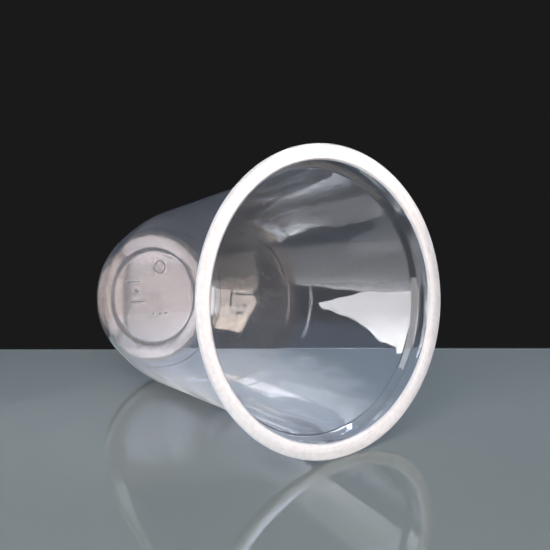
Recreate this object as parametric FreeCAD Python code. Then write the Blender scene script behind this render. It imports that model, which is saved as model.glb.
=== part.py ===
import FreeCAD, Part
import math
import os

# Clear dessert pot, injection moulded in polypropylene as one piece.
#
# Millimetres, +Z up along the pot's own axis. The origin is the middle of
# the standing ring, so the pot stands on z = 0 with its mouth upwards.
#
# A moulded pot is one skin of nearly even thickness. The outside of that
# skin is drawn first, as a section of corners and straight stretches from
# the middle of the base to the mouth. The inside is the same section, each
# stretch moved inwards by its own wall. The corners are then rounded, the
# rounding on the far side of a bend being larger by the wall.

# --- Overall sizes -------------------------------------------------------
height = 102.0             # standing ring to the top of the sealing flange
rim_diameter = 95.0        # outside of the sealing flange

# --- Sealing flange and mouth --------------------------------------------
flange_width = 5.0         # outer edge to the mouth's sharp corner
flange_thickness = 1.2
flange_edge_radius = 0.5   # both edges of the flange's rim
mouth_radius = 0.8         # rounding from the flange down into the neck

# --- Neck and stacking ledge ---------------------------------------------
neck_depth = 5.9           # flange top to the ledge's outer corner, outside
neck_draft = 1.0           # degrees from the axis
ledge_width = 2.0          # how far the ledge stands in from the neck
ledge_slope = 28.0         # degrees down towards the axis
ledge_radius = 0.3         # the tighter side of both bends at the ledge

# --- Body ----------------------------------------------------------------
belly_diameter = 62.6      # where the bowl turns into the straight wall
belly_height = 20.7
belly_radius = 65.0        # long easy curve between bowl and wall
heel_diameter = 51.2       # where the foot's flare turns into the bowl
heel_height = 3.1
heel_radius = 18.0

# --- Base ----------------------------------------------------------------
foot_diameter = 46.6       # outer corner of the standing ring
foot_radius = 0.8
ring_width = 5.2           # flat standing ring, in from the foot's corner
step_run = 1.3             # slanted step from the ring up to the disc
push_up = 1.1              # how far the disc is lifted off the table
step_radius = 0.3
gate_well_diameter = 3.4   # shallow well round the injection gate
gate_well_depth = 0.25
gate_well_run = 0.5        # its slanted side
gate_nub_diameter = 0.9    # cold stub of the gate, inside the well
gate_nub_length = 0.2

# --- Wall thicknesses ----------------------------------------------------
wall = 0.6                 # bowl, wall, ledge and neck
base_wall = 0.8            # standing ring, step and disc
inside_corner_radius = 0.5 # where base and bowl meet inside

FULL_TURN = 360.0


def tangent(degrees):
    """Tangent of an angle given in degrees."""
    return math.tan(math.radians(degrees))


def outside_corners():
    """Corners of the outside skin, (r, z), from the axis to the flange top."""
    rim = rim_diameter / 2
    foot = foot_diameter / 2
    ring = foot - ring_width
    disc = ring - step_run
    well = gate_well_diameter / 2
    mouth = rim - flange_width
    neck_top = mouth + wall / math.cos(math.radians(neck_draft))
    neck_foot = neck_top - neck_depth * tangent(neck_draft)
    ledge_z = height - neck_depth
    wall_top = neck_foot - ledge_width
    wall_top_z = ledge_z - ledge_width * tangent(ledge_slope)
    return [
        (0.0, push_up + gate_well_depth),
        (well - gate_well_run, push_up + gate_well_depth),
        (well, push_up),
        (disc, push_up),
        (ring, 0.0),
        (foot, 0.0),
        (heel_diameter / 2, heel_height),
        (belly_diameter / 2, belly_height),
        (wall_top, wall_top_z),
        (neck_foot, ledge_z),
        (neck_top, height),
    ]


def crossing(a, b, c, d):
    """Point where the line through a, b meets the line through c, d."""
    ax, az = b[0] - a[0], b[1] - a[1]
    cx, cz = d[0] - c[0], d[1] - c[1]
    across = ax * cz - az * cx
    along = ((c[0] - a[0]) * cz - (c[1] - a[1]) * cx) / across
    return (a[0] + along * ax, a[1] + along * az)


def moved_in(a, b, distance):
    """The stretch a to b, moved square to itself towards the pot's inside."""
    length = math.hypot(b[0] - a[0], b[1] - a[1])
    dr = -(b[1] - a[1]) / length * distance
    dz = (b[0] - a[0]) / length * distance
    return (a[0] + dr, a[1] + dz), (b[0] + dr, b[1] + dz)


def inside_corners(outside, walls):
    """Corners of the inside skin, each stretch moved in by its own wall."""
    lines = [moved_in(a, b, w) for a, b, w in zip(outside, outside[1:], walls)]
    first = (0.0, lines[0][0][1])
    inner = [crossing(*p, *q) for p, q in zip(lines, lines[1:])]
    top = crossing(*lines[-1], (0.0, height), (1.0, height))
    return [first] + inner + [top]


def turn_at(before, corner, after):
    """Angle, in radians, by which the section turns at a corner."""
    a = math.atan2(corner[1] - before[1], corner[0] - before[0])
    b = math.atan2(after[1] - corner[1], after[0] - corner[0])
    return abs((b - a + math.pi) % (2 * math.pi) - math.pi)


def rounding_lengths(points, radii):
    """Length that each rounding takes from the stretches at its corner.

    Two roundings that share a stretch shorter than both need are shrunk
    together until they fit on it.
    """
    lengths = [0.0] * len(points)
    for i in range(1, len(points) - 1):
        turn = turn_at(points[i - 1], points[i], points[i + 1])
        lengths[i] = radii[i] * math.tan(turn / 2)
    for i in range(len(points) - 1):
        stretch = math.dist(points[i], points[i + 1])
        taken = lengths[i] + lengths[i + 1]
        if taken > stretch:
            lengths[i] *= stretch / taken
            lengths[i + 1] *= stretch / taken
    return lengths


def towards(start, end, distance):
    """Point at a distance from start on the way to end."""
    share = distance / math.dist(start, end)
    return (start[0] + share * (end[0] - start[0]), start[1] + share * (end[1] - start[1]))


def vector(point):
    """A point (r, z) of the section as a vector in the XZ plane."""
    return FreeCAD.Vector(point[0], 0.0, point[1])


def rounded_edges(points, radii):
    """Lines and tangent arcs along the corners of an open section."""
    lengths = rounding_lengths(points, radii)
    edges = []
    start = points[0]
    for i in range(1, len(points)):
        corner = points[i]
        end = towards(corner, points[i - 1], lengths[i])
        if math.dist(start, end) > 1e-6:
            edges.append(Part.LineSegment(vector(start), vector(end)).toShape())
        start = corner
        if lengths[i] > 0:
            start = towards(corner, points[i + 1], lengths[i])
            half_turn = turn_at(points[i - 1], corner, points[i + 1]) / 2
            radius = lengths[i] / math.tan(half_turn)
            middle = ((end[0] + start[0]) / 2, (end[1] + start[1]) / 2)
            depth = radius / math.cos(half_turn) - radius
            crown = towards(corner, middle, depth)
            arc = Part.Arc(vector(end), vector(crown), vector(start))
            edges.append(arc.toShape())
    return edges


def pot_section():
    """Closed section of the pot's wall, on the +X side of the axis."""
    outside = outside_corners()
    flange_under_z = height - flange_thickness
    base_stretches = 5
    wall_stretches = len(outside) - 1 - base_stretches
    walls = [base_wall] * base_stretches + [wall] * wall_stretches
    inside = inside_corners(outside, walls)

    # The neck's outside ends under the flange, which closes the section.
    neck_foot, neck_top = outside[-2:]
    level = (0.0, flange_under_z), (1.0, flange_under_z)
    outside[-1] = crossing(neck_foot, neck_top, *level)
    rim = rim_diameter / 2
    flange = [(rim, flange_under_z), (rim, height)]

    outside_radii = [
        0.0, step_radius, step_radius, step_radius, step_radius,
        foot_radius, heel_radius, belly_radius,
        ledge_radius, ledge_radius + wall, mouth_radius - wall,
    ]
    inside_radii = [
        0.0, step_radius, step_radius, step_radius, step_radius,
        inside_corner_radius, heel_radius - wall, belly_radius - wall,
        ledge_radius + wall, ledge_radius, mouth_radius,
    ]
    points = outside + flange + inside[::-1]
    radii = outside_radii + [flange_edge_radius] * 2 + inside_radii[::-1]
    edges = rounded_edges(points, radii)
    edges.append(Part.LineSegment(vector(points[-1]), vector(points[0])).toShape())
    return Part.Face(Part.Wire(edges))


def gate_nub():
    """The stub that the injection gate leaves, hidden inside its well."""
    sunk = base_wall / 2
    bottom = push_up + gate_well_depth - gate_nub_length
    return Part.makeCylinder(gate_nub_diameter / 2, gate_nub_length + sunk,
                             FreeCAD.Vector(0, 0, bottom))


def make_pot():
    """The pot, turned from its section, with the gate's stub."""
    axis = FreeCAD.Vector(0, 0, 1)
    body = pot_section().revolve(FreeCAD.Vector(0, 0, 0), axis, FULL_TURN)
    return body.fuse(gate_nub()).removeSplitter()


os.makedirs("parts", exist_ok=True)
pot = make_pot()
pot.exportStep("parts/pot.step")
print("pot: solids", len(pot.Solids), "valid", pot.isValid(), "volume", round(pot.Volume, 1), "mm3")
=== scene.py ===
# %% [markdown]
# # A clear plastic dessert pot
#
# The real pot is one injection moulding in clear polypropylene: a bowl with
# a long straight wall, a stacking ledge, a short neck and a flat flange that
# a film lid is sealed to. Three things make it look like itself: the thin
# wall that shows what is behind it, the milky flange, and the satin base.
# Everything is in metres, in the same frame as the CAD model: +Z up the
# pot's own axis, the standing ring on z = 0.

# %% Load the frame
import bpy, bmesh, math
from mathutils import Matrix, Vector


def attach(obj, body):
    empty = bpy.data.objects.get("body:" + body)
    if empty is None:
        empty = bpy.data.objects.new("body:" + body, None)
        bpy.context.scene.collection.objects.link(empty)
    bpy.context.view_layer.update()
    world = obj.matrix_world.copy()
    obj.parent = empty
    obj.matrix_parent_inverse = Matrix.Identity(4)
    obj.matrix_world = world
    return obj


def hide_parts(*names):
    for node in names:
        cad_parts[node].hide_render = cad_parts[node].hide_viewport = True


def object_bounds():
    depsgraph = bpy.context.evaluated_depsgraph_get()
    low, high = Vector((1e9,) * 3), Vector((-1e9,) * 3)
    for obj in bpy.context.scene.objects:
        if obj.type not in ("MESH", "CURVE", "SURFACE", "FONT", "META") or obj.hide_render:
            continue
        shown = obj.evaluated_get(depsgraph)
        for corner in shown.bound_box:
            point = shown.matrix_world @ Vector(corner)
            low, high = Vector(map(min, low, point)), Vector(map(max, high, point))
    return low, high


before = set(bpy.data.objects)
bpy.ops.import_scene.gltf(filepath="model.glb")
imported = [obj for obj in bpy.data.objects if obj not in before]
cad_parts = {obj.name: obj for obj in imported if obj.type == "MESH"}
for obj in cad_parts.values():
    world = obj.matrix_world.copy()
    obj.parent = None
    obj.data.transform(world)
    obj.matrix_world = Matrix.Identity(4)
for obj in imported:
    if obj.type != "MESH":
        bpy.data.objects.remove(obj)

MM = 0.001
cad_box = [list(corner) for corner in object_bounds()]
low, high = (Vector(corner) for corner in cad_box)
rim_radius = (high.x - low.x) / 2
pot_height = high.z
print("CAD box in mm:", [[round(v / MM, 2) for v in c] for c in cad_box])


# %% [markdown]
# ## Small helpers
#
# Colours are written as the hex values that a colour picker shows, and one
# function turns them into the linear values that the renderer works in. One
# other function adds a node with its settings and whatever feeds it, so that
# each material below reads as a short list.

# %% Colour and node helpers
def linear(hex_colour):
    """A hex colour such as 'd8dde6' as linear red, green, blue and alpha."""
    values = [int(hex_colour[i:i + 2], 16) / 255 for i in (0, 2, 4)]
    return [v / 12.92 if v <= 0.04045 else ((v + 0.055) / 1.055) ** 2.4 for v in values] + [1.0]


def add(tree, kind, feeds=None, **settings):
    """Adds a node; feeds maps an input's name or number to a value or a socket."""
    made = tree.nodes.new(kind)
    for name, value in settings.items():
        setattr(made, name, value)
    for key, value in (feeds or {}).items():
        if isinstance(value, bpy.types.NodeSocket):
            tree.links.new(value, made.inputs[key])
        else:
            made.inputs[key].default_value = value
    return made


# %% [markdown]
# ## The pot's section
#
# A turned shape is fully described by half of its section. The outside skin
# is a list of corners from the middle of the base to the flange. The inside
# skin is the same list with each stretch moved in by its own wall, which is
# how a moulder thinks of it: nearly even thickness everywhere. Each corner
# carries the radius of its rounding, in millimetres.

# %% Sizes of the section, in mm
wall, base_wall = 0.6, 0.8
flange_width, flange_thickness = 5.0, 1.2
neck_depth, neck_draft = 5.9, math.radians(1)
ledge_width, ledge_slope = 2.0, math.radians(28)
push_up, gate_well = 1.1, 0.25                       # how far the disc is lifted, and its well's depth
well_floor, well, disc, ring = 1.2, 1.7, 16.8, 18.1  # radii of the base's corners
foot, heel, belly = (23.3, 0.0), (25.6, 3.1), (31.3, 20.7)
nub_radius, nub_end = 0.45, 1.15                     # cold stub of the gate, in the well
rim, height = rim_radius / MM, pot_height / MM
print("rim", round(2 * rim, 2), "mm across, height", round(height, 2), "mm")


# %% Corners of the outside and the inside
neck_top = rim - flange_width + wall / math.cos(neck_draft)
neck_foot = neck_top - neck_depth * math.tan(neck_draft)
ledge_level = height - neck_depth
wall_top = (neck_foot - ledge_width, ledge_level - ledge_width * math.tan(ledge_slope))
well_top = push_up + gate_well
outside = [(0.0, well_top), (well_floor, well_top), (well, push_up), (disc, push_up), (ring, 0.0),
           foot, heel, belly, wall_top, (neck_foot, ledge_level), (neck_top, height)]
walls = [base_wall] * 5 + [wall] * 5                 # the base as far as the foot, then the wall


def crossing(a, b, c, d):
    """Where the line through a and b meets the line through c and d."""
    ab, cd = (b[0] - a[0], b[1] - a[1]), (d[0] - c[0], d[1] - c[1])
    along = (((c[0] - a[0]) * cd[1] - (c[1] - a[1]) * cd[0])
             / (ab[0] * cd[1] - ab[1] * cd[0]))
    return (a[0] + along * ab[0], a[1] + along * ab[1])


def moved_in(a, b, distance):
    """The stretch from a to b, moved square to itself towards the inside."""
    length = math.dist(a, b)
    dr, dz = -(b[1] - a[1]) / length * distance, (b[0] - a[0]) / length * distance
    return (a[0] + dr, a[1] + dz), (b[0] + dr, b[1] + dz)


stretches = [moved_in(a, b, w) for a, b, w in zip(outside, outside[1:], walls)]
inside = ([(0.0, stretches[0][0][1])]
          + [crossing(*p, *q) for p, q in zip(stretches, stretches[1:])]
          + [crossing(*stretches[-1], (0.0, height), (1.0, height))])
under = height - flange_thickness
outside[-1] = crossing(outside[-2], outside[-1], (0.0, under), (1.0, under))
nub = [(0.0, nub_end), (nub_radius, nub_end), (nub_radius, well_top)]
section = nub + outside[1:] + [(rim, under), (rim, height)] + inside[::-1]
print(len(section), "corners, inside radius at the mouth", round(inside[-1][0], 2), "mm")


# %% How far each corner is rounded
step_radius, ledge_radius, edge_radius, mouth_radius = 0.3, 0.3, 0.5, 0.8
foot_radius, inner_foot_radius = 0.8, 0.5
heel_radius, belly_radius = 18, 65
nub_rounding = [0, 0.08, 0.05]
outside_rounding = [step_radius] * 4 + [foot_radius, heel_radius, belly_radius,
                                        ledge_radius, ledge_radius + wall, mouth_radius - wall]
inside_rounding = [0] + [step_radius] * 4 + [inner_foot_radius, heel_radius - wall, belly_radius - wall,
                                             ledge_radius + wall, ledge_radius, mouth_radius]
rounding = nub_rounding + outside_rounding + [edge_radius] * 2 + inside_rounding[::-1]
print(len(rounding), "roundings, the largest", max(rounding), "mm")


# %% [markdown]
# ## Turning the section
#
# The pot could be made with a Screw modifier or with bmesh.ops.spin. Here a
# Geometry Nodes tree does it, because the whole shape follows one rule: round
# each corner of the section by its own radius, cut the long stretches finer,
# and turn the result about the axis. The section comes in as a chain of
# points. A grid gets one column for each point of the finished section and
# one row for each step of the turn, and every grid point is then put where
# its column and row say. The first and last rows, and the points on the
# axis, fall together and are merged, so the skin is closed.

# %% The section as a chain of points
chain = bpy.data.meshes.new("pot section")
chain.from_pydata([(r * MM, 0.0, z * MM) for r, z in section],
                  [(i, i + 1) for i in range(len(section) - 1)], [])
radii = chain.attributes.new("rounding", "FLOAT", "POINT")
radii.data.foreach_set("value", [r * MM for r in rounding])

# a long rounding gets 14 steps, a usual one 7 and the smallest 3
steps = chain.attributes.new("steps", "INT", "POINT")
steps.data.foreach_set("value", [14 if r > 10 else 7 if r >= 0.3 else 3 for r in rounding])
pot_frame = bpy.data.objects.new("pot", chain)
bpy.context.scene.collection.objects.link(pot_frame)
print("section chain:", len(chain.vertices), "points")


# %% The inputs of the tree that turns it
steps_round = 288
pot_sizes = {"Longest Step": 3.0 * MM,
             "Flange Inner Radius": (rim - flange_width - 0.1) * MM,    # just inside the mouth's corner
             "Flange Underside": (under - 0.01) * MM,                   # a hair below, to take the face in
             "Base Top": 2.4 * MM, "Base Radius": 24.2 * MM}            # as far as the base looks satin
turning = bpy.data.node_groups.new("Turned section", "GeometryNodeTree")
face = turning.interface
face.new_socket("Geometry", in_out="INPUT", socket_type="NodeSocketGeometry")
face.new_socket("Steps Round", in_out="INPUT", socket_type="NodeSocketInt").default_value = steps_round
for name, value in pot_sizes.items():
    face.new_socket(name, in_out="INPUT", socket_type="NodeSocketFloat").default_value = value
for name in ("Wall Plastic", "Flange Plastic", "Base Plastic"):
    face.new_socket(name, in_out="INPUT", socket_type="NodeSocketMaterial")
face.new_socket("Geometry", in_out="OUTPUT", socket_type="NodeSocketGeometry")
print("turning tree takes", ", ".join(pot_sizes))


# %% Round the corners and cut the long stretches
given = add(turning, "NodeGroupInput").outputs
line = add(turning, "GeometryNodeMeshToCurve", {0: given["Geometry"]})
rounding_of = add(turning, "GeometryNodeInputNamedAttribute", {"Name": "rounding"}, data_type="FLOAT")
steps_of = add(turning, "GeometryNodeInputNamedAttribute", {"Name": "steps"}, data_type="INT")
rounded = add(turning, "GeometryNodeFilletCurve", {
    "Curve": line.outputs[0], "Count": steps_of.outputs["Attribute"],
    "Radius": rounding_of.outputs["Attribute"], "Limit Radius": True}, mode="POLY")

# how long the stretch after each point is, and so how many cuts it needs
index = add(turning, "GeometryNodeInputIndex").outputs[0]
here = add(turning, "GeometryNodeInputPosition").outputs[0]
next_index = add(turning, "ShaderNodeMath", {0: index, 1: 1.0}, operation="ADD")
after = add(turning, "GeometryNodeSampleIndex", {
    "Geometry": rounded.outputs[0], "Value": here, "Index": next_index.outputs[0]},
    data_type="FLOAT_VECTOR", domain="POINT", clamp=True)
gap = add(turning, "ShaderNodeVectorMath", {0: after.outputs[0], 1: here}, operation="DISTANCE")
pieces = add(turning, "ShaderNodeMath", {0: gap.outputs["Value"], 1: given["Longest Step"]},
             operation="DIVIDE")
cuts = add(turning, "ShaderNodeMath", {0: pieces.outputs[0]}, operation="FLOOR")
finer = add(turning, "GeometryNodeSubdivideCurve", {"Curve": rounded.outputs[0], "Cuts": cuts.outputs[0]})
print("rounding and cutting:", len(turning.nodes), "nodes")


# %% Turn it: one column per section point, one row per step of the turn
size = add(turning, "GeometryNodeAttributeDomainSize", {0: finer.outputs[0]}, component="CURVE")
rows = add(turning, "ShaderNodeMath", {0: given["Steps Round"], 1: 1.0}, operation="ADD")
sheet = add(turning, "GeometryNodeMeshGrid", {
    "Size X": 1.0, "Size Y": 1.0,
    "Vertices X": size.outputs["Point Count"], "Vertices Y": rows.outputs[0]})
column = add(turning, "ShaderNodeMath", {0: index, 1: rows.outputs[0]}, operation="DIVIDE")
column = add(turning, "ShaderNodeMath", {0: column.outputs[0]}, operation="FLOOR")
row = add(turning, "ShaderNodeMath", {0: index, 1: rows.outputs[0]}, operation="MODULO")
point = add(turning, "GeometryNodeSampleIndex", {
    "Geometry": finer.outputs[0], "Value": here, "Index": column.outputs[0]},
    data_type="FLOAT_VECTOR", domain="POINT", clamp=True)
turn = add(turning, "ShaderNodeMath", {0: row.outputs[0], 1: given["Steps Round"]}, operation="DIVIDE")
turn = add(turning, "ShaderNodeMath", {0: turn.outputs[0], 1: 2 * math.pi}, operation="MULTIPLY")
turned = add(turning, "ShaderNodeVectorRotate", {"Vector": point.outputs[0], "Angle": turn.outputs[0]},
             rotation_type="Z_AXIS")
placed = add(turning, "GeometryNodeSetPosition", {
    "Geometry": sheet.outputs["Mesh"], "Position": turned.outputs[0]})
closed = add(turning, "GeometryNodeMergeByDistance", {"Geometry": placed.outputs[0], "Distance": 0.001 * MM})
outwards = add(turning, "GeometryNodeFlipFaces", {0: closed.outputs[0]})
smooth = add(turning, "GeometryNodeSetShadeSmooth", {"Geometry": outwards.outputs[0], "Shade Smooth": True})
print("with the turn:", len(turning.nodes), "nodes")


# %% Which plastic a face shows: the flange, the base or the wall between them
along_axes = add(turning, "ShaderNodeSeparateXYZ", {0: here}).outputs
flat = add(turning, "ShaderNodeCombineXYZ", {0: along_axes[0], 1: along_axes[1]})
radius = add(turning, "ShaderNodeVectorMath", {0: flat.outputs[0]}, operation="LENGTH").outputs["Value"]


def both(a, b, c, d):
    """A selection: a is over b, and c is over d."""
    first = add(turning, "FunctionNodeCompare", {0: a, 1: b}, data_type="FLOAT", operation="GREATER_THAN")
    second = add(turning, "FunctionNodeCompare", {0: c, 1: d}, data_type="FLOAT", operation="GREATER_THAN")
    return add(turning, "FunctionNodeBooleanMath", {0: first.outputs[0], 1: second.outputs[0]}).outputs[0]


on_flange = both(radius, given["Flange Inner Radius"], along_axes[2], given["Flange Underside"])
on_base = both(given["Base Top"], along_axes[2], given["Base Radius"], radius)
dressed = add(turning, "GeometryNodeSetMaterial", {
    "Geometry": smooth.outputs[0], "Material": given["Wall Plastic"]})
dressed = add(turning, "GeometryNodeSetMaterial", {
    "Geometry": dressed.outputs[0], "Selection": on_flange, "Material": given["Flange Plastic"]})
dressed = add(turning, "GeometryNodeSetMaterial", {
    "Geometry": dressed.outputs[0], "Selection": on_base, "Material": given["Base Plastic"]})
solid = add(turning, "GeometryNodeRealizeInstances", {0: dressed.outputs[0]})
add(turning, "NodeGroupOutput", {0: solid.outputs[0]})
print("turning tree:", len(turning.nodes), "nodes")


# %% [markdown]
# ## Clear polypropylene
#
# Clear polypropylene, injection moulded in a polished tool: it bends light
# like glass (IOR 1.49), mirrors the lamps sharply, and is never quite as
# clear as glass. A little of the light scatters in it, which shows as a cool
# milky veil over anything dark behind the wall. At a slant the surface looks
# slightly hazy too, which a little sheen gives. The flow of the plastic leaves
# it slightly wavy, over some 20 mm, and the polishing of the tool and the
# pulling off the core leave fine lines along the axis, about 1 mm apart. The
# neck's tool was turned, which leaves fine lines round it. A crease runs
# round the bowl, where two parts of the mould meet, and a few specks of dust
# were moulded in. All of this is far too shallow for the mesh, so it goes
# into the bump.

# %% A plastic and its bumps
def plastic(name, colour, roughness, clear):
    """A new material of one Principled shader, with the place on the pot."""
    made = bpy.data.materials.new(name)
    made.use_nodes = True
    tree = made.node_tree
    shader = tree.nodes["Principled BSDF"]
    shader.inputs["Base Color"].default_value = linear(colour)
    shader.inputs["Roughness"].default_value = roughness
    shader.inputs["IOR"].default_value = 1.49
    shader.inputs["Transmission Weight"].default_value = clear
    spot = add(tree, "ShaderNodeTexCoord").outputs["Object"]
    return made, tree, shader, spot


def bumps(tree, shader, layers):
    """Stacks bumps on a shader; each layer is a height from 0 to 1 and its depth in mm."""
    normal = None
    for height, depth in layers:
        feeds = {"Height": height, "Distance": depth * MM, "Strength": 1.0}
        if normal:
            feeds["Normal"] = normal
        normal = add(tree, "ShaderNodeBump", feeds).outputs[0]
    tree.links.new(normal, shader.inputs["Normal"])


# %% Patterns on a plastic, 0 to 1
def noise(tree, spot, grain, squash=(1.0, 1.0, 1.0), detail=1.0):
    """Noise whose grain is a size in mm, stretched where squash is below 1."""
    placed = add(tree, "ShaderNodeMapping", {"Vector": spot, "Scale": squash})
    return add(tree, "ShaderNodeTexNoise", {
        "Vector": placed.outputs[0], "Scale": 1 / (grain * MM), "Detail": detail}).outputs[0]


def ring_at(tree, spot, level, width):
    """A smooth ridge round the pot: 1 at a height in mm, 0 beyond its width."""
    height = add(tree, "ShaderNodeSeparateXYZ", {0: spot}).outputs[2]
    off = add(tree, "ShaderNodeMath", {0: height, 1: level * MM}, operation="SUBTRACT")
    off = add(tree, "ShaderNodeMath", {0: off.outputs[0]}, operation="ABSOLUTE")
    return add(tree, "ShaderNodeMapRange", {
        "Value": off.outputs[0], "From Min": width * MM, "From Max": 0.0},
        interpolation_type="SMOOTHSTEP").outputs[0]


def specks(tree, spot, apart, size):
    """Round specks, apart and size in mm: 1 on a speck and 0 between them."""
    cells = add(tree, "ShaderNodeTexVoronoi", {
        "Vector": spot, "Scale": 1 / (apart * MM), "Randomness": 1.0})
    return add(tree, "ShaderNodeMapRange", {
        "Value": cells.outputs["Distance"], "From Min": size / apart, "From Max": 0.0},
        interpolation_type="SMOOTHSTEP").outputs[0]


# %% The clear wall
neck_low, neck_high = 95.4 * MM, 96.0 * MM      # over this height the neck's turned lines fade in
crease_level, crease_width = 6.0, 0.3           # in mm, as the depths and grains below are
wall_plastic, tree, shader, spot = plastic("Polypropylene clear moulded", "eff4fd",
                                           roughness=0.0, clear=0.96)
shader.inputs["Sheen Weight"].default_value = 0.14
shader.inputs["Sheen Roughness"].default_value = 0.22
shader.inputs["Sheen Tint"].default_value = linear("cfdcf2")
level = add(tree, "ShaderNodeSeparateXYZ", {0: spot}).outputs[2]
on_neck = add(tree, "ShaderNodeMapRange", {"Value": level, "From Min": neck_low, "From Max": neck_high})
turned_lines = noise(tree, spot, 0.8, squash=(0.02, 0.02, 1))
turned_lines = add(tree, "ShaderNodeMath", {0: turned_lines, 1: on_neck.outputs[0]}, operation="MULTIPLY")
drawn_out = add(tree, "ShaderNodeMapping", {"Vector": spot, "Scale": (1, 1, 0.12)}).outputs[0]
bumps(tree, shader, [
    (turned_lines.outputs[0], 0.02),
    (noise(tree, spot, 20), 0.11),
    (noise(tree, spot, 1.2, squash=(1, 1, 0.02), detail=2.0), 0.0025),
    (ring_at(tree, spot, crease_level, crease_width), 0.1),
    (specks(tree, spot, 8, 0.3), 0.05),
    (specks(tree, drawn_out, 8, 0.2), 0.02)])
print("clear wall:", len(tree.nodes), "nodes")


# %% [markdown]
# ## The milky flange
#
# The flange is twice as thick as the wall and was cooled fast against the
# mould, so it is milky: light that goes in comes out scattered. Sealing heads
# need it flat, but it keeps a soft sheen, faint streaks where the plastic
# flowed round it, and a few scratches from stacking.

# %% The flange
flange_plastic, tree, shader, spot = plastic("Polypropylene milky flange", "ffffff",
                                             roughness=0.2, clear=0.5)
shader.inputs["Specular IOR Level"].default_value = 0.3
along_axes = add(tree, "ShaderNodeSeparateXYZ", {0: spot}).outputs
flat = add(tree, "ShaderNodeCombineXYZ", {0: along_axes[0], 1: along_axes[1]}).outputs[0]
radius = add(tree, "ShaderNodeVectorMath", {0: flat}, operation="LENGTH").outputs["Value"]
radius = add(tree, "ShaderNodeCombineXYZ", {0: radius}).outputs[0]

# rings: noise that changes with the radius, and only slowly on the way round
rings = add(tree, "ShaderNodeVectorMath", {0: spot, 1: (0.06, 0.06, 0.0), 2: radius},
            operation="MULTIPLY_ADD").outputs[0]
rings = noise(tree, rings, 0.5, detail=2.0)

# the streaks of flow are mixed with the rings, and most of the mix lies between 0.36 and 0.56
flow = noise(tree, spot, 1.6, detail=4.0)
flow = add(tree, "ShaderNodeMix", {0: 0.5, 2: flow, 3: rings}, data_type="FLOAT").outputs[0]
flow = add(tree, "ShaderNodeMapRange", {"Value": flow, "From Min": 0.36, "From Max": 0.56}).outputs[0]
milk = add(tree, "ShaderNodeMix", {0: flow, 6: linear("f1eeee"), 7: linear("ffffff")}, data_type="RGBA")
tree.links.new(milk.outputs[2], shader.inputs["Base Color"])
bumps(tree, shader, [
    (noise(tree, spot, 9), 0.03),
    (rings, 0.012),
    (noise(tree, spot, 0.5, detail=2.0), 0.003)])
print("milky flange:", len(tree.nodes), "nodes")


# %% [markdown]
# ## The satin base and its marks
#
# The base is where the plastic comes in, so it is a little thicker and
# hazier than the wall. Its two flat faces mirror the room in one piece, and
# the slanted step between them stays dark. The tool's face was spark
# eroded, which leaves a very fine grain of about 0.4 mm.
#
# Marks that were cut into the tool come out rough, so they have a finish of
# their own, much rougher than the base's.

# %% The base
base_plastic, tree, shader, spot = plastic("Polypropylene satin base", "fbf0e8",
                                           roughness=0.075, clear=0.86)
bumps(tree, shader, [(noise(tree, spot, 12), 0.02), (noise(tree, spot, 0.4, detail=1.0), 0.0008)])
print("satin base:", len(tree.nodes), "nodes")


# %% The marks
mark_plastic, tree, shader, spot = plastic("Polypropylene engraved mark", "dcdadb",
                                           roughness=0.45, clear=0.9)
bumps(tree, shader, [(noise(tree, spot, 0.3, detail=2.0), 0.01)])
print("engraved marks:", len(tree.nodes), "nodes")


# %% [markdown]
# ## The finished skin
#
# The tree goes on the chain of points as a modifier, which is given the sizes
# and the three plastics. What comes out is kept as a plain mesh and the
# modifier goes, because the pot is one closed skin from here on. Its volume
# is printed.

# %% Turn the pot
def inputs_of(modifier, tree, values):
    """Sets a Geometry Nodes modifier's inputs by their identifiers."""
    by_name = {s.name: s.identifier for s in tree.interface.items_tree if s.in_out == "INPUT"}
    for name, value in values.items():
        modifier[by_name[name]] = value


turner = pot_frame.modifiers.new("Turn", "NODES")
turner.node_group = turning
inputs_of(turner, turning, {
    "Steps Round": steps_round, **pot_sizes,
    "Wall Plastic": wall_plastic, "Flange Plastic": flange_plastic, "Base Plastic": base_plastic})
bpy.context.view_layer.update()
skin = bpy.data.meshes.new_from_object(pot_frame.evaluated_get(bpy.context.evaluated_depsgraph_get()))
pot_frame.modifiers.clear()
pot_frame.data = skin
skin.name = "pot"
shape = bmesh.new()
shape.from_mesh(skin)
print("pot:", len(skin.polygons), "faces, volume",
      round(shape.calc_volume(signed=True) / MM**3, 1), "mm3, open edges",
      sum(1 for e in shape.edges if len(e.link_faces) != 2))
shape.free()

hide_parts("pot")
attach(pot_frame, "root")


# %% [markdown]
# ## Marks on the base
#
# A moulded pot has small raised marks on its base. These are plain ones that
# say nothing: a ring, a large pip between two bars, and a row of three pips.
# They could be cut into the pot's mesh, but low ridges that are sunk into the
# disc look the same. They are on both faces of the disc, because through
# clear plastic a mark on one face is lost in the mirroring of the other. A
# Geometry Nodes tree makes them: the ring and the bars are one round ridge
# along different lines, and the pips are squashed spheres.

# %% The inputs of the tree that makes the marks
mark_sizes = {"Ridge Radius": 0.3 * MM, "Ring Radius": 2.2 * MM,
              "Disc Underside": push_up * MM, "Disc Top": (push_up + base_wall) * MM,
              "Bar Length": 5.5 * MM, "Pip Spacing": 2.6 * MM}
marking = bpy.data.node_groups.new("Raised marks", "GeometryNodeTree")
face = marking.interface
for name, value in mark_sizes.items():
    face.new_socket(name, in_out="INPUT", socket_type="NodeSocketFloat").default_value = value
face.new_socket("Plastic", in_out="INPUT", socket_type="NodeSocketMaterial")
face.new_socket("Geometry", in_out="OUTPUT", socket_type="NodeSocketGeometry")
given = add(marking, "NodeGroupInput").outputs
print("marking tree takes", ", ".join(mark_sizes))


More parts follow.
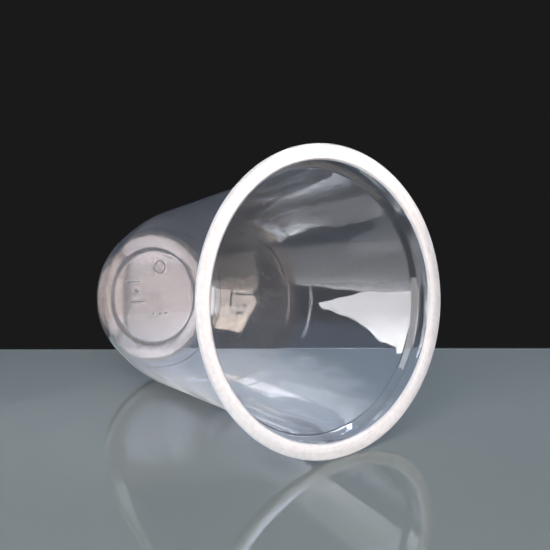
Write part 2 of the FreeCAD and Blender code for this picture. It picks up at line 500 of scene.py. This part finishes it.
# %% The ring and the bars
marks_turn = math.radians(38)                # the way the marks read across the disc
ring_place = (-4.75, 10.2)                   # places on the disc, in mm
bar_places = ((-12.4, -2.4), (-7.1, -7.6))
row_place, large_pip_place = (3.4, -5.4), (-7.6, -2.8)


def placed(geometry, x, y):
    """Moves one mark to x, y in mm on the disc, turned the way all marks read."""
    return add(marking, "GeometryNodeTransform", {
        "Geometry": geometry, "Translation": (x * MM, y * MM, 0),
        "Rotation": (0, 0, marks_turn)}).outputs[0]


circle = add(marking, "GeometryNodeCurvePrimitiveCircle", {
    "Resolution": 40, "Radius": given["Ring Radius"]}).outputs[0]
bar_end = add(marking, "ShaderNodeCombineXYZ", {0: given["Bar Length"]}).outputs[0]
bar = add(marking, "GeometryNodeCurvePrimitiveLine", {"End": bar_end}).outputs[0]
profile = add(marking, "GeometryNodeCurvePrimitiveCircle", {
    "Resolution": 12, "Radius": given["Ridge Radius"]}).outputs[0]
lines = add(marking, "GeometryNodeJoinGeometry")
for way in (placed(circle, *ring_place), *(placed(bar, *place) for place in bar_places)):
    marking.links.new(way, lines.inputs[0])
ridges = add(marking, "GeometryNodeCurveToMesh", {
    "Curve": lines.outputs[0], "Profile Curve": profile, "Fill Caps": True}).outputs[0]
print("ring and bars:", len(marking.nodes), "nodes")


# %% The pips, and everything on both faces of the disc
pip = add(marking, "GeometryNodeMeshUVSphere", {
    "Segments": 16, "Rings": 8, "Radius": given["Ridge Radius"]}).outputs[0]
pip = add(marking, "GeometryNodeTransform", {"Geometry": pip, "Scale": (1.7, 1.7, 1.0)}).outputs[0]
large_pip = add(marking, "GeometryNodeTransform", {"Geometry": pip, "Scale": (2.0, 1.4, 1.0)}).outputs[0]
spacing = add(marking, "ShaderNodeCombineXYZ", {0: given["Pip Spacing"]}).outputs[0]
row = add(marking, "GeometryNodeMeshLine", {"Count": 3, "Offset": spacing}).outputs[0]
pips = add(marking, "GeometryNodeInstanceOnPoints", {"Points": row, "Instance": pip}).outputs[0]
everything = add(marking, "GeometryNodeJoinGeometry")
for way in (ridges, placed(pips, *row_place), placed(large_pip, *large_pip_place)):
    marking.links.new(way, everything.inputs[0])

# sunk by 0.4 of the ridge's radius, and flatter inside the pot
both_faces = add(marking, "GeometryNodeJoinGeometry")
for face_of, into, flatness in ((given["Disc Underside"], 0.4, 1.0), (given["Disc Top"], -0.4, 0.7)):
    sunk = add(marking, "ShaderNodeMath", {0: given["Ridge Radius"], 1: into}, operation="MULTIPLY")
    level = add(marking, "ShaderNodeMath", {0: face_of, 1: sunk.outputs[0]}, operation="ADD")
    level = add(marking, "ShaderNodeCombineXYZ", {2: level.outputs[0]}).outputs[0]
    lifted = add(marking, "GeometryNodeTransform", {
        "Geometry": everything.outputs[0], "Translation": level, "Scale": (1.0, 1.0, flatness)}).outputs[0]
    marking.links.new(lifted, both_faces.inputs[0])
real = add(marking, "GeometryNodeRealizeInstances", {0: both_faces.outputs[0]}).outputs[0]
smooth = add(marking, "GeometryNodeSetShadeSmooth", {"Geometry": real, "Shade Smooth": True}).outputs[0]
dressed = add(marking, "GeometryNodeSetMaterial", {
    "Geometry": smooth, "Material": given["Plastic"]}).outputs[0]
add(marking, "NodeGroupOutput", {0: dressed})
print("marking tree:", len(marking.nodes), "nodes")


# %% Make the marks
marks = bpy.data.objects.new("base_marks", bpy.data.meshes.new("start"))
bpy.context.scene.collection.objects.link(marks)
marker = marks.modifiers.new("Mark", "NODES")
marker.node_group = marking
inputs_of(marker, marking, {**mark_sizes, "Plastic": mark_plastic})
bpy.context.view_layer.update()
marked = bpy.data.meshes.new_from_object(marks.evaluated_get(bpy.context.evaluated_depsgraph_get()))
marks.modifiers.clear()
marks.data = marked
marked.name = "base_marks"
check = bmesh.new()
check.from_mesh(marked)
print("marks:", len(marked.polygons), "faces, volume", round(check.calc_volume(signed=True) / MM**3, 2),
      "mm3, lowest point", round(min(v.co.z for v in marked.vertices) / MM, 2), "mm")
check.free()
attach(marks, "root")


# %% [markdown]
# ## Where the camera stands
#
# The pot is shown lying on its side on a low glossy table, resting on the
# edge of its flange and on the bulge of its bowl. The pot itself doesn't move:
# the table and the camera are turned instead. Three directions of the table
# are worked out in the pot's frame: up, to the camera's right, and away.

# %% The table's directions
bulge_radius, bulge_height = 31.25 * MM, 21.5 * MM       # the bowl touches the table here
top_heading = math.radians(135)                          # the heading round the axis that lies on top
mouth_turn = math.radians(38.08)                         # mouth turned right, away from the camera
axis = Vector((0, 0, 1))
rest = math.atan2(rim_radius - bulge_radius, pot_height - bulge_height)   # how far the axis rises
up = Vector((math.cos(rest) * math.cos(top_heading), math.cos(rest) * math.sin(top_heading), math.sin(rest)))
along = (axis - math.sin(rest) * up).normalized()        # the axis, laid flat on the table
across = up.cross(along)
right = math.sin(mouth_turn) * along + math.cos(mouth_turn) * across
away = -math.cos(mouth_turn) * along + math.sin(mouth_turn) * across
print("the axis rises", round(math.degrees(rest), 2), "degrees from the table")


# %% The camera
pitch, distance = math.radians(14.37), 352.8 * MM
sight = math.cos(pitch) * away - math.sin(pitch) * up
aim = Vector((-4.75, 6.47, 75.08)) * MM
eye = aim - distance * sight
camera = bpy.data.objects.new("camera", bpy.data.cameras.new("camera"))
camera.data.lens = 72.35
camera.data.clip_start, camera.data.clip_end = 0.01, 20.0
camera.location = eye
head = right.cross(sight)
camera.rotation_mode = "QUATERNION"
camera.rotation_quaternion = Matrix((right, head, -sight)).transposed().to_quaternion()
bpy.context.scene.collection.objects.link(camera)
bpy.context.scene.camera = camera
bpy.context.scene.view_settings.view_transform = "Standard"
print("line of sight", [round(v, 3) for v in sight])


# %% [markdown]
# ## The table
#
# The table is a polished grey sheet, seen only from its upper side and only
# at a slant. It mirrors the pot sharply, so it is nearly without roughness.
# It casts no shadow on the pot that stands behind it when the pot is seen
# from elsewhere.

# %% The stage
def sheet_of(name, corners, material):
    """A flat sheet through its corners, with one material."""
    mesh = bpy.data.meshes.new(name)
    mesh.from_pydata(corners, [], [range(len(corners))])
    made = bpy.data.objects.new(name, mesh)
    mesh.materials.append(material)
    bpy.context.scene.collection.objects.link(made)
    return made


def stage_sheet(name, colour, roughness):
    """A glossy material that a factor may turn see-through, with its parts."""
    made = bpy.data.materials.new(name)
    made.use_nodes = True
    tree = made.node_tree
    tree.nodes.clear()
    gloss = add(tree, "ShaderNodeBsdfPrincipled", {
        "Base Color": linear(colour), "Roughness": roughness, "IOR": 1.5})
    clear = add(tree, "ShaderNodeBsdfTransparent")
    pick = add(tree, "ShaderNodeMixShader", {1: gloss.outputs[0], 2: clear.outputs[0]})
    add(tree, "ShaderNodeOutputMaterial", {0: pick.outputs[0]})
    facing = add(tree, "ShaderNodeLayerWeight", {"Blend": 0.5}).outputs["Facing"]
    return made, tree, gloss, facing, pick.inputs[0]


# %% The polished table
hidden_below, shown_above = 0.1, 0.2         # facing values: 0 is straight on, 1 is along the sheet
table_gloss, tree, gloss, facing, see_through = stage_sheet("Polished grey sheet", "72756c",
                                                            roughness=0.008)
back = add(tree, "ShaderNodeNewGeometry").outputs["Backfacing"]
steep = add(tree, "ShaderNodeMapRange", {"Value": facing, "From Min": shown_above, "From Max": hidden_below})
hidden = add(tree, "ShaderNodeMath", {0: back, 1: steep.outputs[0]}, operation="MAXIMUM")
path = add(tree, "ShaderNodeLightPath").outputs
hidden = add(tree, "ShaderNodeMath", {0: hidden.outputs[0], 1: path["Is Shadow Ray"]}, operation="MAXIMUM")
tree.links.new(hidden.outputs[0], see_through)

# the table lies under the flange's edge, with a hair of air between them
half_flange, air = flange_thickness / 2 * MM, 0.1 * MM
touch = (pot_height - half_flange) * math.sin(rest) - rim_radius * math.cos(rest) - air
print("the table lies", round(-touch / MM, 2), "mm under the axis's foot")


# %% [markdown]
# ## Light that the pot gathers on the table
#
# A clear pot bends the lamps' light into bright bands on the table beside
# it, and leaves a shade with a clean edge under itself. The pot's wall then
# mirrors these, which is where most of the pattern inside it comes from.
# Tracing such light through two walls needs far more samples than a still
# picture is given, so it is laid on the table as a soft glow instead. Its
# places are distances in mm along the pot's axis (s) and across it (t). Apart
# from a faint glow under the pot, it shows only to rays that were both
# mirrored and let through by the pot.

# %% Places on the table
grain, sway = 11 * MM, 20 * MM               # how fine and how strong the light's edges wander
spot = add(tree, "ShaderNodeTexCoord").outputs["Object"]
waves = add(tree, "ShaderNodeTexNoise", {"Vector": spot, "Scale": 1 / grain, "Detail": 1.5}).outputs["Color"]
waves = add(tree, "ShaderNodeVectorMath", {0: waves, 1: (0.5, 0.5, 0.5)}, operation="SUBTRACT").outputs[0]
wavy_spot = add(tree, "ShaderNodeVectorMath", {0: waves, 1: (sway, sway, sway), 2: spot},
                operation="MULTIPLY_ADD").outputs[0]
s_here, t_here = (
    add(tree, "ShaderNodeVectorMath", {0: wavy_spot, 1: way / MM}, operation="DOT_PRODUCT").outputs["Value"]
    for way in (along, across))


def patch(s, t, reach_s, reach_t, glow):
    """Light on the table round the point s along and t across the pot, in mm."""
    squares = []
    for here, at, reach in ((s_here, s, reach_s), (t_here, t, reach_t)):
        off = add(tree, "ShaderNodeMath", {0: here, 1: at}, operation="SUBTRACT")
        off = add(tree, "ShaderNodeMath", {0: off.outputs[0], 1: reach}, operation="DIVIDE")
        square = add(tree, "ShaderNodeMath", {0: off.outputs[0], 1: 2.0}, operation="POWER")
        squares.append(square.outputs[0])
    spread = add(tree, "ShaderNodeMath", {0: squares[0], 1: squares[1]}, operation="ADD")
    return add(tree, "ShaderNodeMapRange", {
        "Value": spread.outputs[0], "From Min": 1.0, "From Max": 0.0, "To Min": 0.0, "To Max": glow},
        interpolation_type="SMOOTHSTEP").outputs[0]


# %% Only for rays that were mirrored, and let through one wall
one_wall = add(tree, "ShaderNodeMath", {0: path["Transmission Depth"], 1: 3.5}, operation="LESS_THAN")
seen_in_pot = path["Glossy Depth"]
for factor in (path["Transmission Depth"], one_wall.outputs[0]):
    seen_in_pot = add(tree, "ShaderNodeMath", {0: seen_in_pot, 1: factor}, operation="MULTIPLY").outputs[0]
seen_in_pot = add(tree, "ShaderNodeMath", {0: seen_in_pot, 1: 1.0}, operation="MINIMUM").outputs[0]
print("table so far:", len(tree.nodes), "nodes")


# %% The bright band, which starts at a straight line and fades away from it
band_slope, band_start = 0.29, -3.5          # the line is t = slope * s + start
edge_width, full_until, gone_after = 2.0, 3.0, 22.0
line = add(tree, "ShaderNodeMath", {0: s_here, 1: band_slope, 2: band_start}, operation="MULTIPLY_ADD")
past = add(tree, "ShaderNodeMath", {0: t_here, 1: line.outputs[0]}, operation="SUBTRACT").outputs[0]
edge = add(tree, "ShaderNodeMapRange", {"Value": past, "From Min": 0.0, "From Max": edge_width},
           interpolation_type="SMOOTHSTEP").outputs[0]
fade = add(tree, "ShaderNodeMapRange", {"Value": past, "From Min": gone_after, "From Max": full_until},
           interpolation_type="SMOOTHSTEP").outputs[0]
band = add(tree, "ShaderNodeMath", {0: edge, 1: fade}, operation="MULTIPLY").outputs[0]

# the band glows at half strength, and more at two knots
knots = 0.5
for at, reach, glow in ((12, 18, 13.0), (55, 14, 6.0)):
    off = add(tree, "ShaderNodeMath", {0: s_here, 1: at}, operation="SUBTRACT")
    off = add(tree, "ShaderNodeMath", {0: off.outputs[0]}, operation="ABSOLUTE")
    knot = add(tree, "ShaderNodeMapRange", {
        "Value": off.outputs[0], "From Min": reach, "From Max": 0.0, "To Max": glow},
        interpolation_type="SMOOTHSTEP")
    knots = add(tree, "ShaderNodeMath", {0: knot.outputs[0], 1: knots}, operation="ADD").outputs[0]
gathered = add(tree, "ShaderNodeMath", {0: band, 1: knots}, operation="MULTIPLY").outputs[0]
beside_pot = patch(s=20, t=60, reach_s=60, reach_t=38, glow=2.6)
gathered = add(tree, "ShaderNodeMath", {0: gathered, 1: beside_pot}, operation="ADD").outputs[0]
print("with the band:", len(tree.nodes), "nodes")


# %% The painted light lies in streaks some 8 mm long and 1 mm wide, where most of the noise lies between 0.38 and 0.62
stretched = add(tree, "ShaderNodeCombineXYZ", {0: s_here, 1: t_here}).outputs[0]
stretched = add(tree, "ShaderNodeMapping", {"Vector": stretched, "Scale": (0.12, 0.9, 1.0)}).outputs[0]
streaks = add(tree, "ShaderNodeTexNoise", {
    "Vector": stretched, "Scale": 1.0, "Detail": 1.0, "Distortion": 0.6}).outputs[0]
streaks = add(tree, "ShaderNodeMapRange", {
    "Value": streaks, "From Min": 0.38, "From Max": 0.62, "To Min": 0.25, "To Max": 1.15}).outputs[0]
gathered = add(tree, "ShaderNodeMath", {0: gathered, 1: streaks}, operation="MULTIPLY").outputs[0]
print("with the streaks:", len(tree.nodes), "nodes")


# %% The lit table on the near side, and the shade's edge
shade_ends, light_starts = 44.0, 51.0        # along s - t, in mm
over_edge = add(tree, "ShaderNodeMath", {0: s_here, 1: t_here}, operation="SUBTRACT")
over_edge = add(tree, "ShaderNodeMapRange", {
    "Value": over_edge.outputs[0], "From Min": shade_ends, "From Max": light_starts},
    interpolation_type="SMOOTHSTEP").outputs[0]
lit_side = patch(s=52, t=-14, reach_s=40, reach_t=34, glow=1.1)
lit_side = add(tree, "ShaderNodeMath", {0: lit_side, 1: over_edge}, operation="MULTIPLY").outputs[0]
gathered = add(tree, "ShaderNodeMath", {0: gathered, 1: lit_side}, operation="ADD").outputs[0]
gathered = add(tree, "ShaderNodeMath", {0: gathered, 1: seen_in_pot}, operation="MULTIPLY").outputs[0]
print("with the lit side:", len(tree.nodes), "nodes")


# %% A faint glow under the pot, outside the shade, seen by all but the camera
before_band, in_shade, not_camera = (
    add(tree, "ShaderNodeMath", {0: 1.0, 1: part}, operation="SUBTRACT").outputs[0]
    for part in (edge, over_edge, path["Is Camera Ray"]))
for factor in (before_band, seen_in_pot):
    in_shade = add(tree, "ShaderNodeMath", {0: in_shade, 1: factor}, operation="MULTIPLY").outputs[0]
lit = add(tree, "ShaderNodeMath", {0: 1.0, 1: in_shade}, operation="SUBTRACT").outputs[0]
under_pot = patch(s=32, t=5, reach_s=75, reach_t=55, glow=0.36)
for factor in (lit, not_camera):
    under_pot = add(tree, "ShaderNodeMath", {0: under_pot, 1: factor}, operation="MULTIPLY").outputs[0]
gathered = add(tree, "ShaderNodeMath", {0: gathered, 1: under_pot}, operation="ADD").outputs[0]
# the gathered glow is painted light: emission on the table in place of lamp light that the pot bends
gloss.inputs["Emission Color"].default_value = linear("eceae8")
tree.links.new(gathered, gloss.inputs["Emission Strength"])
print("table:", len(tree.nodes), "nodes")


# %% The table's sheet
far, near, to_left, to_right = 0.4155, 0.150, -0.6, 0.25          # metres from the point below the eye
foot_of_eye = eye + (touch - eye.dot(up)) * up
corners = [foot_of_eye + a * away + r * right
           for a, r in ((far, to_left), (near, to_left), (near, to_right), (far, to_right))]
table = sheet_of("table", corners, table_gloss)
print("camera over the table", round((eye.dot(up) - touch) / MM, 1), "mm")


# %% [markdown]
# ## The floor
#
# The floor under the standing pot is pale and plain, with a faint sheen. It
# would stand in the way where the pot is shown lying, so the part of it
# behind the table lets steep sight lines through. All of it lets through what
# the pot or the table mirrors, and it casts no shadow.

# %% The pale floor
floor_level, floor_reach = -0.2 * MM, 3.0
low_slant, steep_slant = 0.434, 0.405        # the facing value falls as a sight line gets steeper
floor_sheet, tree, _, facing, see_through = stage_sheet("Pale floor", "a3a9ac", roughness=0.12)
path = add(tree, "ShaderNodeLightPath").outputs
spot = add(tree, "ShaderNodeTexCoord").outputs["Object"]
steep = add(tree, "ShaderNodeMapRange", {"Value": facing, "From Min": low_slant, "From Max": steep_slant})

# the part behind the table lies past either of two lines, whose edges are 1 mm soft
behind = 0.0
for heading, start in (((-0.707, 0.707, 0), -31.5), ((-0.5573, 0.8304, 0), -20.0)):
    reached = add(tree, "ShaderNodeVectorMath", {0: spot, 1: heading}, operation="DOT_PRODUCT")
    beyond = add(tree, "ShaderNodeMapRange", {
        "Value": reached.outputs["Value"], "From Min": start * MM, "From Max": (start + 1.0) * MM})
    behind = add(tree, "ShaderNodeMath", {0: beyond.outputs[0], 1: behind}, operation="MAXIMUM").outputs[0]
opened = add(tree, "ShaderNodeMath", {0: behind, 1: steep.outputs[0]}, operation="MULTIPLY")
opened = add(tree, "ShaderNodeMath", {0: opened.outputs[0], 1: path["Glossy Depth"]}, operation="ADD")
opened = add(tree, "ShaderNodeMath", {0: opened.outputs[0], 1: path["Is Shadow Ray"]},
             operation="ADD", use_clamp=True)
tree.links.new(opened.outputs[0], see_through)
corners = [(x * floor_reach, y * floor_reach, floor_level) for x, y in ((-1, -1), (1, -1), (1, 1), (-1, 1))]
floor = sheet_of("floor", corners, floor_sheet)
print("floor:", 2 * floor_reach, "m wide")


# %% [markdown]
# ## The room
#
# A clear thing shows what is behind it, so the room matters as much as the
# lamps. Seen straight or through the pot it is dark. The pot's polished skin
# mirrors a dim cool ceiling above it, which gives the wall its bluish veil.

# %% The room
ceiling_from, ceiling_full = 0.22, 0.36      # sines of the angle over the table
world = bpy.data.worlds.new("room")
bpy.context.scene.world = world
world.use_nodes = True
tree = world.node_tree
tree.nodes.clear()
path = add(tree, "ShaderNodeLightPath").outputs
heading = add(tree, "ShaderNodeTexCoord").outputs["Generated"]
rise = add(tree, "ShaderNodeVectorMath", {0: heading, 1: up}, operation="DOT_PRODUCT").outputs["Value"]
over = add(tree, "ShaderNodeMapRange", {"Value": rise, "From Min": ceiling_from, "From Max": ceiling_full})
dark = add(tree, "ShaderNodeBackground", {"Color": linear("1a1a1a"), "Strength": 1.0})
ceiling = add(tree, "ShaderNodeBackground", {"Color": linear("b2c3d9"), "Strength": 1.0})
room = add(tree, "ShaderNodeMixShader", {0: over.outputs[0], 1: dark.outputs[0], 2: ceiling.outputs[0]})

# straight sight lines and those that only went through the pot see the dark room
turned_back = add(tree, "ShaderNodeMath", {0: path["Glossy Depth"], 1: path["Diffuse Depth"]},
                  operation="ADD")
straight = add(tree, "ShaderNodeMath", {0: path["Is Transmission Ray"], 1: turned_back.outputs[0]},
               operation="SUBTRACT", use_clamp=True)
straight = add(tree, "ShaderNodeMath", {0: straight.outputs[0], 1: path["Is Camera Ray"]},
               operation="MAXIMUM")
pick = add(tree, "ShaderNodeMixShader", {0: straight.outputs[0], 1: room.outputs[0], 2: dark.outputs[0]})
add(tree, "ShaderNodeOutputWorld", {0: pick.outputs[0]})
print("room:", len(tree.nodes), "nodes")


# %% [markdown]
# ## Lamps
#
# There are two kinds. Lamps that are mirrored only (lights=False) are what
# the wall, the base and the flange show as reflections: soft boxes on the
# right, a strip above, a window behind the viewer. Lamps that light only
# (mirrored=False) brighten the milky flange, the table and the floor without
# showing in the clear wall. Each is kept to what it is meant for by light
# linking, so that the floor and the table stay at a plain level. Places are
# given from the point on the table below the middle of the pot.

# %% A soft box
def soft_box(name, centre, facing_to, width, tall, glow, colour, only, mirrored=True, lights=True):
    """A rectangular lamp whose face glows evenly, glow being 1 for white, on only one collection."""
    data = bpy.data.lights.new(name, "AREA")
    data.shape = "RECTANGLE"
    data.size, data.size_y = width, tall
    data.energy = glow * math.pi * width * tall
    data.color = linear(colour)[:3]
    lamp = bpy.data.objects.new(name, data)
    lamp.location = centre
    lamp.rotation_mode = "QUATERNION"
    out = (Vector(centre) - Vector(facing_to)).normalized()
    side = up.cross(out).normalized()
    lamp.rotation_quaternion = Matrix((side, out.cross(side), out)).transposed().to_quaternion()
    lamp.visible_camera = False
    lamp.visible_glossy = lamp.visible_transmission = mirrored
    lamp.visible_diffuse = lights
    bpy.context.scene.collection.objects.link(lamp)
    lamp.light_linking.receiver_collection = only


# %% What each lamp may light
def only_on(name, things):
    """A collection of the things that a lamp is kept to."""
    made = bpy.data.collections.new(name)
    for thing in things:
        made.objects.link(thing)
    return made


pot_side = only_on("pot and table", (pot_frame, marks, table))
pot_only = only_on("pot only", (pot_frame, marks))
table_only = only_on("table only", (table,))
floor_side = only_on("floor", (floor,))
middle = Vector((0, 0, pot_height / 2))
ground = middle + (touch - middle.dot(up)) * up
print("lamps are placed from", [round(v / MM, 1) for v in ground], "mm")


# %% Soft boxes on the right: metres out, away and up, then width, height and glow
for name, out, a, u, width, tall, glow, colour, only in (
        ("right soft box", 0.45, -0.133, 0.17, 0.086, 0.33, 14.0, "ffe8d8", pot_side),
        ("right soft box, upper glow", 0.449, -0.133, 0.135, 0.086, 0.075, 9.5, "fff1ea", pot_side),
        ("right soft box, lower glow", 0.449, -0.155, 0.018, 0.12, 0.034, 6.0, "eef2ff", pot_side),
        ("right high box", 0.45, -0.055, 0.46, 0.13, 0.10, 82.0, "dce8ff", pot_only),
        ("right soft box, dim part", 0.45, -0.338, 0.17, 0.324, 0.33, 9.2, "ffe9db", pot_side),
        ("right soft box, upper part", 0.45, -0.02, 0.18, 0.14, 0.17, 11.0, "fff1ee", pot_side)):
    level = ground + a * away + u * up
    soft_box(name, level + out * right, level, width, tall, glow, colour, lights=False, only=only)
print("lamps on the right:", len(bpy.data.lights))


# %% [markdown]
# ## A lit sheet of paper on the left
#
# The pot's inner wall mirrors one large bright shape with a slanted edge, as
# a lit sheet of paper or a bright window beside the table gives. An area
# lamp can only be a rectangle or an ellipse, so this is a sheet of glowing
# paper with its own outline. The renderer caps how bright one lit surface
# shows in a mirror image, so a second sheet, which is see-through and only
# adds its glow, stands just in front and brightens the upper part. Both light
# the pot and the table only, and only where they show through the pot's wall.

# %% The sheets of paper
outline = ((12, 57), (-27, 7), (-58, -15), (-250, -20), (-450, 40),    # mm away and up
           (-450, 330), (80, 330), (71, 296), (24, 183))
brighter_from, brightest_at = 0.10, 0.24                               # metres over the table


def paper_sheet(name, out, glow_low, glow_high, see_through):
    """A sheet out metres to the left, whose glow changes with the height.

    A see-through one only adds its light to what is behind it.
    """
    paper = bpy.data.materials.new(name)
    paper.use_nodes = True
    tree = paper.node_tree
    tree.nodes.clear()
    spot = add(tree, "ShaderNodeTexCoord").outputs["Object"]
    level = add(tree, "ShaderNodeVectorMath", {0: spot, 1: up}, operation="DOT_PRODUCT").outputs["Value"]
    level = add(tree, "ShaderNodeMapRange", {
        "Value": level, "From Min": touch + brighter_from, "From Max": touch + brightest_at,
        "To Min": glow_low, "To Max": glow_high}).outputs[0]
    light = add(tree, "ShaderNodeEmission", {"Color": linear("fff7ee"), "Strength": level}).outputs[0]
    clear = add(tree, "ShaderNodeBsdfTransparent").outputs[0]
    if see_through:
        light = add(tree, "ShaderNodeAddShader", {0: light, 1: clear}).outputs[0]
    back = add(tree, "ShaderNodeNewGeometry").outputs["Backfacing"]
    path = add(tree, "ShaderNodeLightPath").outputs
    no_wall = add(tree, "ShaderNodeMath", {0: path["Transmission Depth"], 1: 0.5}, operation="LESS_THAN")
    off = add(tree, "ShaderNodeMath", {0: back, 1: no_wall.outputs[0]}, operation="MAXIMUM").outputs[0]
    pick = add(tree, "ShaderNodeMixShader", {0: off, 1: light, 2: clear})
    add(tree, "ShaderNodeOutputMaterial", {0: pick.outputs[0]})
    corners = [ground - out * right + a * MM * away + u * MM * up for a, u in reversed(outline)]
    made = sheet_of(name, corners, paper)
    made.visible_camera = made.visible_diffuse = made.visible_shadow = False
    made.light_linking.receiver_collection = pot_side


paper_sheet("left glowing sheet", 0.40, glow_low=10.0, glow_high=10.0, see_through=False)
paper_sheet("left glowing sheet, brighter top", 0.398, glow_low=0.0, glow_high=6.0, see_through=True)
print("the sheets have", len(outline), "corners each")


# %% [markdown]
# ## Lamps in front, above and behind
#
# These finish the light: a key from the front left, a soft lamp straight down
# the mouth, a strip overhead and a window behind the viewer that the wall
# mirrors, a small lamp for the top of the flange, and one each for the table,
# the underside and the floor.

# %% The other lamps
strip_rise, strip_turn, strip_distance = math.radians(31), math.radians(17), 0.8
strip_level = math.cos(strip_turn) * away - math.sin(strip_turn) * right
strip = ground + strip_distance * (math.cos(strip_rise) * strip_level + math.sin(strip_rise) * up)
crown = pot_height * axis + rim_radius * (up - up.z * axis).normalized()    # the flange's highest point

soft_box("key", ground - 0.12 * right - 0.22 * away + 0.32 * up, middle,
         width=0.20, tall=0.20, glow=3.3, colour="fff8f4", mirrored=False, only=pot_side)
soft_box("mouth light", (-0.02, 0.03, 0.85), (0, 0, 0.1),
         width=0.35, tall=0.35, glow=4.5, colour="fbf3ee", mirrored=False, only=pot_side)
soft_box("overhead strip", strip, ground,
         width=0.10, tall=0.09, glow=2.3, colour="fff1e2", lights=False, only=pot_only)
soft_box("window behind", ground - 0.60 * away + 0.28 * up, ground + 0.04 * up,
         width=1.0, tall=0.42, glow=3.2, colour="fffaf4", lights=False, only=pot_only)
soft_box("crown light", crown + 0.07 * axis + 0.06 * up - 0.02 * right, crown,
         width=0.05, tall=0.05, glow=2.8, colour="fffcf8", mirrored=False, only=pot_only)
soft_box("table light", ground - 0.26 * away + 0.22 * up, ground - 0.20 * away,
         width=0.2, tall=0.2, glow=3.6, colour="e4efff", mirrored=False, only=table_only)
soft_box("low fill", ground - 0.2 * right - 0.28 * away - 0.2 * up, ground,
         width=0.2, tall=0.2, glow=11.0, colour="b9c8e4", mirrored=False, only=pot_only)
soft_box("floor light", (0, 0, 0.9), (0.001, 0, 0),
         width=1.2, tall=1.2, glow=2.0, colour="ffffff", mirrored=False, only=floor_side)
print("lamps in all:", len(bpy.data.lights))
